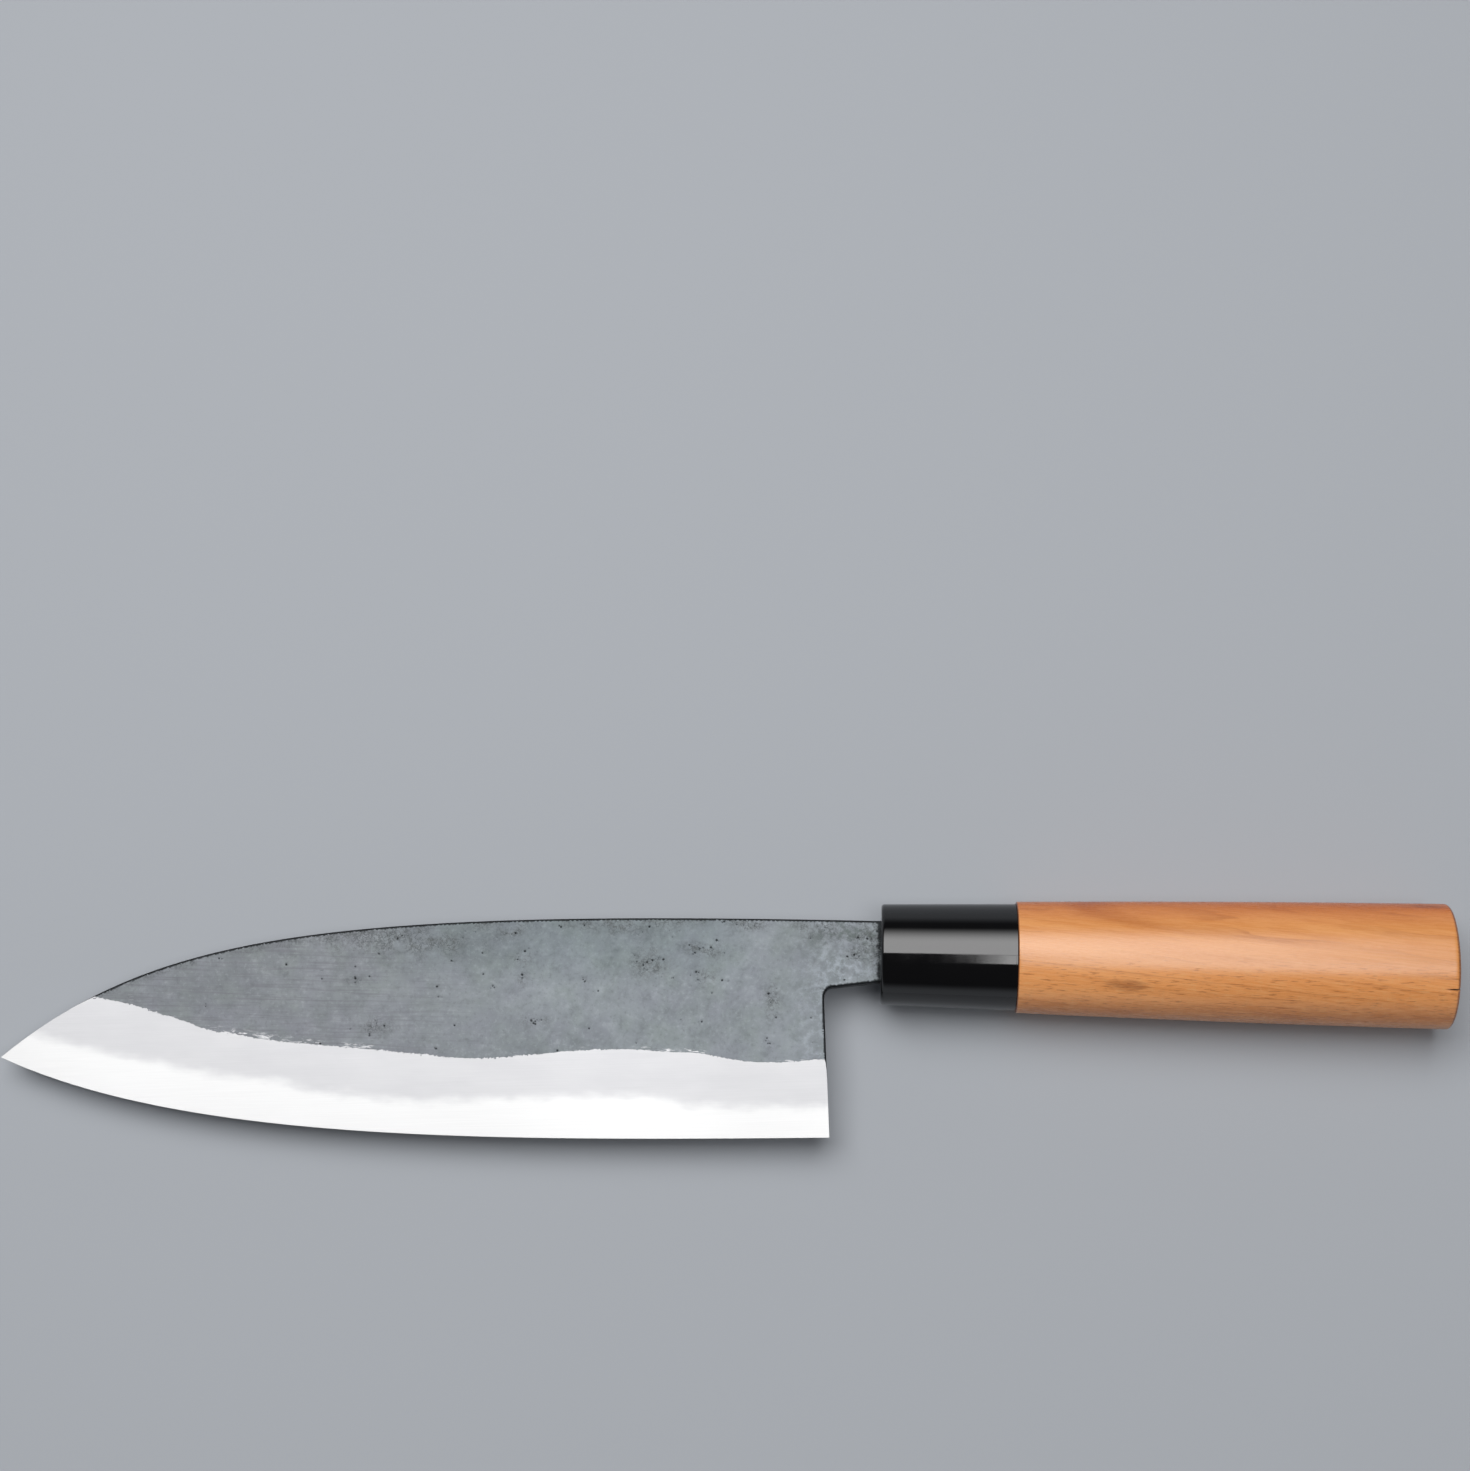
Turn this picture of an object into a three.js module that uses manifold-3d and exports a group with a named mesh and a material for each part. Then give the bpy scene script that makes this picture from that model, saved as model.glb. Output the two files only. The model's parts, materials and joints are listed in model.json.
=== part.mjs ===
// A forged kitchen knife: a blade of three welded layers on a hidden tang, a black ferrule and an
// oval wooden handle. Millimetres. The origin is the centre of the handle's butt face. +X points out
// of the butt along the handle's axis, +Y points to the spine and +Z is square to the blade.
import * as THREE from "three";
import { mergeVertices } from "three/addons/utils/BufferGeometryUtils.js";
import Module from "manifold-3d";

// Lengths along the knife
const bladeLength = 173.4;
const neckLength = 10;
const ferruleLength = 28;
const gripLength = 89.1;
const tangLength = 80;

// Blade profile, in heights from the handle's axis
const spineRise = 6.8;
const spineCrown = 0.3;
const tipDrop = 25.6;
const heelDrop = 38;
const edgeBelly = 3.9;
const heelLean = 1.6;
const neckDrop = 5.95;
const choilDrop = 7.2;
const choilRadius = 2.4;

// Where the profile's curves are held, as shares of the way from the heel or the ferrule to the tip
const spineHoldShare = 0.644;
const spineTurnShare = 0.836;
const spineFallShare = 0.19;
const edgeHoldShare = 0.4225;
const edgeFallShare = 0.645;
const edgeTurnShare = 0.7735;

// Blade thickness and layers
const neckThickness = 3.2;
const tipThickness = 1.1;
const edgeThickness = 0.12;
const coreShare = 0.455;
const weldSeam = 0.02;

// Ground bevel: its mean height above the edge, and the two waves of a grind line made by hand
const bevelHeight = 16.8;
const longWaveHeight = 1.25;
const longWaveLength = 94;
const longWaveStart = 60.6;
const shortWaveHeight = 0.72;
const shortWaveLength = 51;
const shortWaveStart = 8.6;

// Tang and its bedding
const tangEndHeight = 6;
const tangEndThickness = 2;
const beddingThickness = 0.6;
const beddingGap = 0.05;

// Ferrule and handle, as heights of an oval section whose width is a share of its height
const ovalShare = 0.84;
const ferruleFrontHeight = 21;
const ferruleRearHeight = 22.2;
const ferruleRim = 0.7;
const ferruleFrontWall = 3;
const tenonHeight = 17.4;
const tenonGap = 0.05;
const gripFrontHeight = 23.1;
const gripMiddleHeight = 24.9;
const buttHeight = 25.85;
const shoulderBreak = 0.3;
const buttChamfer = 0.9;

// Smoothness of the facets, and how far a cutter reaches past what it cuts
const roundSteps = 96;
const curveSteps = 40;
const grindSteps = 60;
const gripSteps = 8;
const bisections = 40;
const cutterReach = 5;

// Places along the knife
const buttX = 0;
const ferruleRearX = buttX - gripLength;
const ferruleFrontX = ferruleRearX - ferruleLength;
const heelX = ferruleFrontX - neckLength;
const tipX = heelX - bladeLength;
const tangEndX = ferruleFrontX + tangLength;

const wasm = await Module();
wasm.setup();

// A solid that can be cut, from a closed geometry
function solidOf(geometry) {
  const bare = new THREE.BufferGeometry();
  bare.setAttribute("position", geometry.getAttribute("position"));
  bare.setIndex(geometry.getIndex());
  const merged = mergeVertices(bare);
  const index = merged.getIndex().array;
  const triangles = [];
  for (let i = 0; i < index.length; i += 3) {
    const [a, b, c] = index.subarray(i, i + 3);
    const collapsed = a === b || b === c || c === a;
    if (!collapsed) triangles.push(a, b, c);
  }
  const mesh = new wasm.Mesh({
    numProp: 3,
    vertProperties: new Float32Array(merged.getAttribute("position").array),
    triVerts: new Uint32Array(triangles),
  });
  return new wasm.Manifold(mesh);
}

// The geometry of a finished solid
function geometryOf(solid) {
  const mesh = solid.getMesh();
  const geometry = new THREE.BufferGeometry();
  geometry.setAttribute("position", new THREE.BufferAttribute(mesh.vertProperties, 3));
  geometry.setIndex(new THREE.BufferAttribute(mesh.triVerts, 1));
  geometry.computeVertexNormals();
  return geometry;
}

// A solid through a row of sections in rising x, all with as many corners. Corners are [y, z] pairs
// and run counter-clockwise as seen from +X.
function loft(sections) {
  const corners = sections[0].ring.length;
  const points = sections.flatMap(({ x, ring }) => ring.flatMap(([y, z]) => [x, y, z]));
  const last = (sections.length - 1) * corners;
  const index = [];
  for (let corner = 1; corner < corners - 1; corner++) {
    index.push(0, corner + 1, corner);
    index.push(last, last + corner, last + corner + 1);
  }
  for (let row = 0; row < last; row += corners) {
    for (let corner = 0; corner < corners; corner++) {
      const next = (corner + 1) % corners;
      const a = row + corner;
      const b = row + next;
      index.push(a, b, b + corners, a, b + corners, a + corners);
    }
  }
  const geometry = new THREE.BufferGeometry();
  geometry.setAttribute("position", new THREE.Float32BufferAttribute(points, 3));
  geometry.setIndex(index);
  return solidOf(geometry);
}

// The four corners of a section between two heights and two depths
function boxRing(bottom, top, back, front) {
  return [[bottom, back], [top, back], [top, front], [bottom, front]];
}

// A solid of revolution about the handle's axis, flattened to the handle's oval. The profile is a
// row of [x, height] pairs from the axis at the front to the axis at the back.
function oval(profile) {
  const points = profile.map(([x, height]) => new THREE.Vector2(height / 2, x));
  const geometry = new THREE.LatheGeometry(points, roundSteps);
  geometry.rotateZ(-Math.PI / 2);
  geometry.scale(1, 1, ovalShare);
  return solidOf(geometry);
}

// The height of a curve at one x, for a curve whose x only rises
function heightAt(curve, x) {
  let low = 0;
  let high = 1;
  for (let step = 0; step < bisections; step++) {
    const middle = (low + high) / 2;
    if (curve.getPoint(middle).x < x) low = middle;
    else high = middle;
  }
  return curve.getPoint(low).y;
}

// The blade's spine and cutting edge, both drawn from the tip towards the handle
const tip = new THREE.Vector2(tipX, -tipDrop);
const spine = new THREE.CubicBezierCurve(
  tip,
  new THREE.Vector2(
    THREE.MathUtils.lerp(ferruleFrontX, tipX, spineTurnShare),
    THREE.MathUtils.lerp(spineRise, -tipDrop, spineFallShare),
  ),
  new THREE.Vector2(THREE.MathUtils.lerp(ferruleFrontX, tipX, spineHoldShare), spineRise + spineCrown),
  new THREE.Vector2(ferruleFrontX, spineRise),
);
const edge = new THREE.CubicBezierCurve(
  tip,
  new THREE.Vector2(THREE.MathUtils.lerp(heelX, tipX, edgeTurnShare), -heelDrop - edgeBelly),
  new THREE.Vector2(
    THREE.MathUtils.lerp(heelX, tipX, edgeHoldShare),
    -heelDrop - edgeBelly * edgeFallShare,
  ),
  new THREE.Vector2(heelX, -heelDrop),
);

// Half the thickness of the blade, which tapers from the neck to the tip, and of the tang, which
// tapers to its end
function bladeHalf(x) {
  return THREE.MathUtils.mapLinear(x, tipX, ferruleFrontX, tipThickness, neckThickness) / 2;
}

function tangHalf(x) {
  return THREE.MathUtils.mapLinear(x, ferruleFrontX, tangEndX, neckThickness, tangEndThickness) / 2;
}

function plateHalf(x) {
  return x < ferruleFrontX ? bladeHalf(x) : tangHalf(x);
}

// The height of the ground bevel above the cutting edge
function bevelAt(x) {
  const fromFerrule = ferruleFrontX - x;
  const wave = (height, length, start) =>
    height * Math.sin((2 * Math.PI * (fromFerrule + start)) / length);
  return (
    bevelHeight +
    wave(longWaveHeight, longWaveLength, longWaveStart) +
    wave(shortWaveHeight, shortWaveLength, shortWaveStart)
  );
}

// The upper and lower lines of the tang, at one x
function tangTop(x) {
  return THREE.MathUtils.mapLinear(x, ferruleFrontX, tangEndX, spineRise, tangEndHeight / 2);
}

function tangBottom(x) {
  return -THREE.MathUtils.mapLinear(x, ferruleFrontX, tangEndX, neckDrop, tangEndHeight / 2);
}

// The outline of blade, neck and tang in one plate
function profileShape() {
  const shape = new THREE.Shape();
  const choilX = heelX - heelLean;
  shape.moveTo(tip.x, tip.y);
  shape.bezierCurveTo(edge.v1.x, edge.v1.y, edge.v2.x, edge.v2.y, edge.v3.x, edge.v3.y);
  shape.lineTo(choilX, -choilDrop - choilRadius);
  shape.quadraticCurveTo(choilX, -choilDrop, choilX + choilRadius, -choilDrop);
  shape.lineTo(ferruleFrontX, -neckDrop);
  shape.lineTo(tangEndX, tangBottom(tangEndX));
  shape.lineTo(tangEndX, tangTop(tangEndX));
  shape.lineTo(ferruleFrontX, spineRise);
  shape.bezierCurveTo(spine.v2.x, spine.v2.y, spine.v1.x, spine.v1.y, tip.x, tip.y);
  return shape;
}

// Rows of x: the plate's straight runs, and the finer row that follows the grind line
const plateRows = [tipX - cutterReach, ferruleFrontX, tangEndX + cutterReach];
const grindRows = Array.from(
  { length: grindSteps + 1 },
  (_, step) => THREE.MathUtils.lerp(tipX, heelX, step / grindSteps),
);

// A slab along the whole blade between two depths, each a function of x
function slab(back, front) {
  const reach = heelDrop + edgeBelly + cutterReach;
  return loft(plateRows.map((x) => ({ x, ring: boxRing(-reach, reach, back(x), front(x)) })));
}

// The wedge that grinds both bevels, thinnest along the cutting edge and thicker than the plate above
function grindWedge() {
  const top = spineRise + spineCrown + cutterReach;
  const section = (x, edgeX) => {
    const low = heightAt(edge, edgeX);
    const slope = (bladeHalf(edgeX) - edgeThickness / 2) / bevelAt(edgeX);
    const below = edgeThickness / 4 / slope;
    const half = (y) => edgeThickness / 2 + slope * (y - low);
    const bottomHalf = half(low - below);
    const topHalf = half(top);
    return {
      x,
      ring: [[low - below, -bottomHalf], [top, -topHalf], [top, topHalf], [low - below, bottomHalf]],
    };
  };
  return loft([
    section(tipX - cutterReach, tipX),
    ...grindRows.map((x) => section(x, x)),
    section(tangEndX + cutterReach, heelX),
  ]);
}

// The space round the tang at one distance from it, from one x at the front to past the tang's end
function tangSpace(distance, frontX) {
  const ring = (x) => {
    const half = tangHalf(x) + distance;
    return { x, ring: boxRing(tangBottom(x) - distance, tangTop(x) + distance, -half, half) };
  };
  return loft([ring(frontX), ring(tangEndX + distance)]);
}

// Blade: one ground blank, split into its core and its two claddings
const blank = solidOf(
  new THREE.ExtrudeGeometry(profileShape(), {
    depth: neckThickness + cutterReach,
    bevelEnabled: false,
    curveSegments: curveSteps,
  }).translate(0, 0, -(neckThickness + cutterReach) / 2),
);
const blade = blank.intersect(slab((x) => -plateHalf(x), plateHalf)).intersect(grindWedge());
const coreHalf = (x) => coreShare * plateHalf(x);
const outside = () => neckThickness;
const bladeCore = blade.intersect(slab((x) => -coreHalf(x), coreHalf));
const claddingLeft = blade.intersect(slab((x) => coreHalf(x) + weldSeam, outside));
const claddingRight = blade.intersect(slab((x) => -outside(x), (x) => -coreHalf(x) - weldSeam));

// Handle: a wooden grip with a tenon, a ferrule on the tenon, and the bedding round the tang
const socket = tangSpace(beddingThickness, ferruleFrontX - cutterReach);
const boreEndX = ferruleFrontX + ferruleFrontWall;

function makeFerrule() {
  const boreHeight = tenonHeight + 2 * tenonGap;
  const cap = oval([
    [ferruleFrontX, 0],
    [ferruleFrontX, ferruleFrontHeight - 2 * ferruleRim],
    [ferruleFrontX + ferruleRim, ferruleFrontHeight],
    [ferruleRearX, ferruleRearHeight],
    [ferruleRearX, boreHeight],
    [boreEndX, boreHeight],
    [boreEndX, 0],
  ]);
  return cap.subtract(socket);
}

function makeHandle() {
  const flare = new THREE.QuadraticBezierCurve(
    new THREE.Vector2(ferruleRearX + shoulderBreak, gripFrontHeight),
    new THREE.Vector2(
      (ferruleRearX + buttX) / 2,
      2 * gripMiddleHeight - (gripFrontHeight + buttHeight) / 2,
    ),
    new THREE.Vector2(buttX - buttChamfer, buttHeight),
  );
  const tenonX = boreEndX + tenonGap;
  const grip = oval([
    [tenonX, 0],
    [tenonX, tenonHeight],
    [ferruleRearX, tenonHeight],
    [ferruleRearX, gripFrontHeight - 2 * shoulderBreak],
    ...flare.getPoints(gripSteps).map(({ x, y }) => [x, y]),
    [buttX, buttHeight - 2 * buttChamfer],
    [buttX, 0],
  ]);
  return grip.subtract(socket);
}

function makeBedding() {
  const filled = tangSpace(beddingThickness - beddingGap, ferruleFrontX);
  return filled.subtract(tangSpace(beddingGap, ferruleFrontX - cutterReach));
}

// Finishes
const finish = (color, roughness, metalness) =>
  new THREE.MeshStandardMaterial({ color, roughness, metalness });
const brightSteel = finish(0xf0f0f2, 0.35, 1);
const forgedIron = finish(0x8a8f94, 0.7, 0.6);
const glossBlack = finish(0x111113, 0.2, 0);
const paleWood = finish(0xd09060, 0.55, 0);
const resin = finish(0x3a3028, 0.5, 0);

const knife = new THREE.Group();
const pieces = [
  ["blade_core", bladeCore, brightSteel],
  ["cladding_left", claddingLeft, forgedIron],
  ["cladding_right", claddingRight, forgedIron.clone()],
  ["ferrule", makeFerrule(), glossBlack],
  ["handle", makeHandle(), paleWood],
  ["tang_bedding", makeBedding(), resin],
];
for (const [name, solid, material] of pieces) {
  const mesh = new THREE.Mesh(geometryOf(solid), material);
  mesh.name = name;
  knife.add(mesh);
}

export default knife;
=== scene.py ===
# The looks of a forged kitchen knife that lies on its side. Lengths here are in millimetres unless a
# name says otherwise, and become metres where a mesh is made. The axes are the frame's: +X out of the
# butt, +Y towards the spine and +Z square to the blade.
import json
import math
from functools import partialmethod

import bmesh
import bpy
import numpy as np
from mathutils import Euler, Matrix, Vector, noise
from mathutils.bvhtree import BVHTree
from mathutils.geometry import delaunay_2d_cdt
from mathutils.kdtree import KDTree


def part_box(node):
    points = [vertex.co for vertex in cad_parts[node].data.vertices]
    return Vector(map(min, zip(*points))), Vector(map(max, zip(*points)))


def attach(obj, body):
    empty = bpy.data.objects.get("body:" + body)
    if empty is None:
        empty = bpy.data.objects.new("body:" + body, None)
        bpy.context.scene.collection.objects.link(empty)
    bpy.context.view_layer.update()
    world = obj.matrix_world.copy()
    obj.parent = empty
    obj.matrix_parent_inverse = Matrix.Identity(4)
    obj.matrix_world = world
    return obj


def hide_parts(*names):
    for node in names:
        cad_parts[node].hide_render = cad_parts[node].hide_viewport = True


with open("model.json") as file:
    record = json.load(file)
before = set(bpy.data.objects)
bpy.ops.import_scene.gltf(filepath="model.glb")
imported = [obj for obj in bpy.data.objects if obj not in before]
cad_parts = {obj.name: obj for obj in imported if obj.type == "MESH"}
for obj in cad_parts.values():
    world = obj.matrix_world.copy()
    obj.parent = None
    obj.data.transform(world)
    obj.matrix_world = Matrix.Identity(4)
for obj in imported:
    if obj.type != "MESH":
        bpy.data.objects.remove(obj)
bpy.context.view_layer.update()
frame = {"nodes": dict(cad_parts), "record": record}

MM = 0.001

# How the knife lies along the table, and where the camera stands over it
TIP_DOWN = math.radians(0.75)
CAMERA_PLACE = (-134.62, -65.27, 512.48)
CAMERA_DEGREES = (12.514, 1.265, 1.499)
IMAGE_WIDTH_PX = 1470
FOCAL_LENGTH_PX = 2420
SENSOR_WIDTH = 36

# Light: a soft panel overhead that dims towards the back, a small one towards the front on the right,
# and pale walls under a dark ceiling. A panel's lean is measured from upright, towards the spine, and
# its middle along the knife. Its fade is the share of it that dims.
PANEL_DISTANCE = 1050
PANEL_RADIANCE = 4.7
PANELS = {
    "main_panel": {"middle": -326, "width": 1030, "lean": 26.2, "spread": 52, "fade": 0.58},
    "side_panel": {"middle": 120, "width": 398, "lean": -7.8, "spread": 16, "fade": 0.05},
}
BACKDROP_COLOUR = (0.405, 0.425, 0.455)
CEILING_COLOUR = (0.05, 0.05, 0.053)
WALL_TOP = math.radians(8)
CEILING_START = math.radians(29)
FLOOR_COLOUR = (0.419, 0.44, 0.471)
FLOOR_SIZE = 6000
FLOOR_LIT_RADIUS = 240
FLOOR_FADE_RADIUS = 520

# Meshes: their steps where they show and where they are hidden, and the angle of a sharp edge. Then the
# places where the frame's bevel is measured.
STEP = 0.5
HIDDEN_STEP = 2
LATTICE_MARGIN = 0.44
LATTICE_ROW = math.sqrt(0.75)
SHARP_ANGLE = math.radians(35)
SAME_PLACE = 0.01
SAME_POINT_M = 1e-7
TIP_MARGIN = 4
HEEL_MARGIN = 2
EVEN_LENGTH = 9
PROBE_START = 50
PROBE_REACH = 10
PROBE_SHARES = (0.1, 0.6)

# Forged surface: rounded outer edges, swells and ripples, and the lines of the grind and the weld. The
# pair of numbers of a swell, ripple or patch is its height and its length.
EDGE_ROUND = 0.36
EDGE_ROUND_SHARE = 0.6
ROUND_INSETS = (0.04, 0.11, 0.21, 0.34)
INSET_CLEARANCE = 0.3
FAR_INSIDE = 9
FORGE_SWELL = (0.011, 24)
FORGE_RIPPLE = (0.005, 4.5)
GRIND_STEP = 0.25
GRIND_STRIP = 1
WELD_RIPPLE = (0.25, 5)
WELD_SEAM = 0.015
WELD_MARGIN = 0.05
FEATHER = 0.004

# Painted dark reflection along the rounded outer edges, a black mark at the root, and soot round the
# pits, with darker scale below the spine and at the root. On the right side the patches of soot lie
# anywhere in these ranges: distance ahead of the ferrule, height over the handle's axis, spread along
# and across.
RIM_DARK_REFLECTION = (0.34, 0.44)
ROOT_BLACKENING = 1
ROOT_BLACKENING_START = 1.2
ROOT_PATCHES = (0.5, 1)
SOOT_PATCHES = (1.2, 3.2)
SOOT_SPREAD = 2
SOOT_MEAN = 0.75
SPINE_DARKENING = 2.4
SPINE_DARKENING_SHARE = 0.8
ROOT_DARKENING = 4.5
SOOT_RANGES = ((5, 150), (-16, 5), (2, 6), (1.5, 4))

# Forge pits. A pit's corners lie on rings: the share of its radius, and the number of corners. The
# hollows of a pit stray along and across, and shrink. The scattered pits, counted for the left side, 1,
# and the right, -1, start behind the tip and lie between two heights.
PIT_STEEPNESS = 0.2
PIT_RADIUS = 0.13
PIT_RADIUS_RANGE = 0.24
LONE_PIT_RADIUS = 0.28
DARK_PIT_RADIUS = 0.34
GRIND_PIT_RISE = 0.3
GRIND_PIT_MARGIN = 0.2
PIT_RINGS = ((0.4, 6), (0.75, 9), (1.05, 12))
PIT_CLEARANCE = 1.3
MOST_HOLLOWS = 4
HOLLOW_STRAY = (1.4, 0.8)
HOLLOW_SHRINK = (0.5, 0.9)
SCATTERED_PITS = {1: 60, -1: 300}
SCATTER_START = 20
SCATTER_HEIGHTS = (-24, 6)

# The darker scale along the spine: the heights between which it comes in, and where it fades out and
# in, ahead of the ferrule
DUSK_HEIGHTS = (-11, 1)
DUSK_ENDS = ((22, 38), (112, 92))

# How far the hand-held grind strays from an even bevel, and the weld from an even layer: distance
# ahead of the ferrule, and the shift of the line towards the spine
GRIND_SHIFTS = (
    (11, 0), (26, -0.3), (37, 0.3), (46, -0.4), (56, -0.5), (80, 0), (100, 0.3), (122, 0.6),
    (133, 0.2), (140, -0.5), (148, 0.05), (160, 0.9), (166, 1.2),
)
WELD_SHIFTS = (
    (11, -0.8), (22, -0.2), (38, -0.5), (45, 0.8), (58, 1.1), (85, 1), (95, -0.3), (118, 0.5),
    (124, 1.5), (142, 1.5), (165, 0.7),
)

# Clusters of pits on the left side: distance ahead of the ferrule, height over the handle's axis,
# spread along and across, number of pits. Then the lone pits, and those on the grind line.
PIT_CLUSTERS = (
    (48, -3.2, 1.7, 1.5, 20), (37, -0.2, 2.2, 0.8, 11), (36.3, -6.2, 1.7, 0.8, 10),
    (75, -2.3, 0.9, 0.5, 5), (74.6, -5.9, 0.5, 1.2, 5), (71.6, -15.8, 1.3, 0.5, 8),
    (101.6, 1.7, 0.8, 0.4, 4), (110.2, -8, 0.9, 0.4, 5), (104.6, -17.3, 1.6, 0.8, 7),
    (61.8, -6.7, 0.4, 0.6, 4), (77.6, 2.7, 1.2, 0.5, 4), (55, 4.6, 4, 1, 4),
    (99, 0.2, 8, 1.5, 3), (28, 5.2, 1.6, 0.5, 6), (22.4, -10.1, 0.8, 1.7, 7),
    (12.6, 4.8, 1.5, 1.3, 9), (5.5, -0.4, 1.2, 0.6, 6), (5, 3, 2.6, 1.2, 6),
)
LONE_PITS = (
    (58.6, -9.1), (36.8, -15), (23.2, -18.1), (22.6, -19.2), (14.2, -13.7), (116.7, -7.8), (109.8, -5.1),
    (106.7, -7.1), (105, -2.3), (88.3, -16.9), (82.8, -6.1), (83.2, -1.7), (60.2, -16.9), (67.3, 4.4),
    (62, 4.6),
)
GRIND_LINE_PITS = (66.6, 116.2)

# The slip of a file at the corner behind the heel: its two ends, ahead of the ferrule and in height,
# and half its width there
FILE_SLIP_START = (11.3, -7.9, 0.24)
FILE_SLIP_END = (12.6, -7.55, 0.1)
FILE_SLIP_STEPS = 6

# Handle and ferrule surface. The shares are those of the rings across the ferrule's front and the butt.
ROUND_STEPS = 240
ARC_STEPS = 6
FRONT_SHARES = (0.03, 0.3, 0.6, 0.97)
BUTT_SHARES = (0.97, 0.9, 0.8, 0.65, 0.45, 0.2)
FERRULE_RIPPLE = (0.012, 9)
GRIP_SWELL = (0.05, 26)
GLUE_GAP = 0.05
REAR_RIM = 0.15

# The drying crack: it starts on the side of the grip and ends on the butt, at a share of its height.
# Its corners are places across it, in half widths.
CRACK_HEIGHT = -6
CRACK_LENGTH = 3
CRACK_DEPTH = 0.45
CRACK_HALF_WIDTH = 0.26
CRACK_CORNERS = (-2.5, -1, -0.4, 0, 0.4, 1, 2.5)
CRACK_FLANK = 1.6
CRACK_FADE = 2
CRACK_END_SHARE = 0.5

# Marks in the wood: the middle of each, and how far it reaches along each axis
SMUDGE = ((-66.8, -6.4, 8.4), (5.5, 1.9, 4))
BUTT_STREAK = ((-5.2, 11.6, 4.6), (6, 0.8, 2))

# Growth layers of the wood, and the dark one near the front: its place among them, half its width, how
# far it strays, and where along the knife it starts and ends
GRAIN_SLANT = -6
GROWTH_SLOPE = 0.115
GROWTH_LEAN = 0.6
GROWTH_DRIFT = 2.6
LAYERS_PER_MM = 0.27
DARK_LAYER = 4.4
DARK_LAYER_HALF = 1.1
DARK_LAYER_STRAY = 2.4
DARK_LAYER_REACH = (-84, -76, -66, -48)


# Sizes read from the frame

def corner_points(node):
    """A node's corner points."""
    data = frame["nodes"][node].data
    points = np.empty(len(data.vertices) * 3, np.float32)
    data.vertices.foreach_get("co", points)
    return points.reshape(-1, 3).astype(float) / MM


def box_of(node):
    """A node's lowest and highest corner."""
    return np.array(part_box(node)) / MM


def middle_outline(node):
    """The outline in which the plane z = 0 cuts a node: x and y in order, counter-clockwise."""
    cut = bmesh.new()
    cut.from_mesh(frame["nodes"][node].data)
    bmesh.ops.remove_doubles(cut, verts=cut.verts, dist=SAME_POINT_M)
    whole = [*cut.verts, *cut.edges, *cut.faces]
    bmesh.ops.bisect_plane(
        cut, geom=whole, plane_co=(0, 0, 0), plane_no=(0, 0, 1), clear_inner=True, clear_outer=True
    )
    bmesh.ops.remove_doubles(cut, verts=cut.verts, dist=SAME_POINT_M)
    cut.verts.ensure_lookup_table()
    first = cut.verts[0]
    vert, edge = first, first.link_edges[0]
    loop = []
    while not loop or vert != first:
        loop.append((vert.co.x / MM, vert.co.y / MM))
        vert = edge.other_vert(vert)
        edge = next(other for other in vert.link_edges if other != edge)
    cut.free()
    loop = np.array(loop)
    x, y = loop.T
    area = np.sum(x * np.roll(y, -1) - np.roll(x, -1) * y)
    return loop if area > 0 else loop[::-1]


def crossings(loop, x):
    """The heights at which a closed outline crosses one x, in rising order."""
    after = np.roll(loop, -1, axis=0)
    hit = (loop[:, 0] <= x) != (after[:, 0] <= x)
    share = (x - loop[hit, 0]) / (after[hit, 0] - loop[hit, 0])
    return np.sort(loop[hit, 1] + share * (after[hit, 1] - loop[hit, 1]))


def refine(loop, step):
    """The same closed outline with no stretch longer than a step."""
    points = []
    for start, end in zip(loop, np.roll(loop, -1, axis=0)):
        count = max(1, math.ceil(np.hypot(*(end - start)) / step))
        points.extend(start + (end - start) * i / count for i in range(count))
    return np.array(points)


core_low, core_high = box_of("blade_core")
ferrule_low, ferrule_high = box_of("ferrule")
handle_high = box_of("handle")[1]
tip_x = core_low[0]
tang_end_x = core_high[0]
root_x = ferrule_low[0]
butt_x = handle_high[0]
neck_half = box_of("cladding_left")[1][2]
core_share = core_high[2] / neck_half
flat_mount = next(m for m in frame["record"]["mounts"] if m["name"] == "blade_flat_left")
taper = -flat_mount["axis"][0] / flat_mount["axis"][2]
tip_half = neck_half - taper * (root_x - tip_x)
cladding_points = corner_points("cladding_left")
tang_half = cladding_points[cladding_points[:, 0] > tang_end_x - SAME_PLACE, 2].max()
outline = middle_outline("blade_core")
heel_x = outline[outline[:, 1] < ferrule_low[1], 0].max()


def plate_half(x):
    """Half the thickness of the forged plate: blade, neck and tang."""
    return np.interp(x, (tip_x, root_x, tang_end_x), (tip_half, neck_half, tang_half))


def shift_at(x, shifts):
    """A shift that runs smoothly through the given places ahead of the ferrule."""
    places, heights = np.array(shifts, float).T
    ahead = np.clip(root_x - x, places[0], places[-1])
    start = np.clip(np.searchsorted(places, ahead, side="right") - 1, 0, len(places) - 2)
    share = (ahead - places[start]) / (places[start + 1] - places[start])
    ease = share * share * (3 - 2 * share)
    return heights[start] + (heights[start + 1] - heights[start]) * ease


def evened(values):
    """Values of the columns, averaged along the blade over the flats of the frame's facets."""
    width = 2 * round(EVEN_LENGTH / STEP / 2) + 1
    padded = np.pad(values, width // 2, mode="edge")
    return np.convolve(padded, np.full(width, 1 / width), mode="valid")


depsgraph = bpy.context.evaluated_depsgraph_get()
blade_trees = [
    BVHTree.FromObject(frame["nodes"][node], depsgraph) for node in ("blade_core", "cladding_left")
]


def cad_height(x, y):
    """The height of the blade's left surface in the frame."""
    hits = [tree.ray_cast(Vector((x, y, PROBE_START)) * MM, (0, 0, -1))[0] for tree in blade_trees]
    return max(hit.z for hit in hits if hit) / MM


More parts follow.
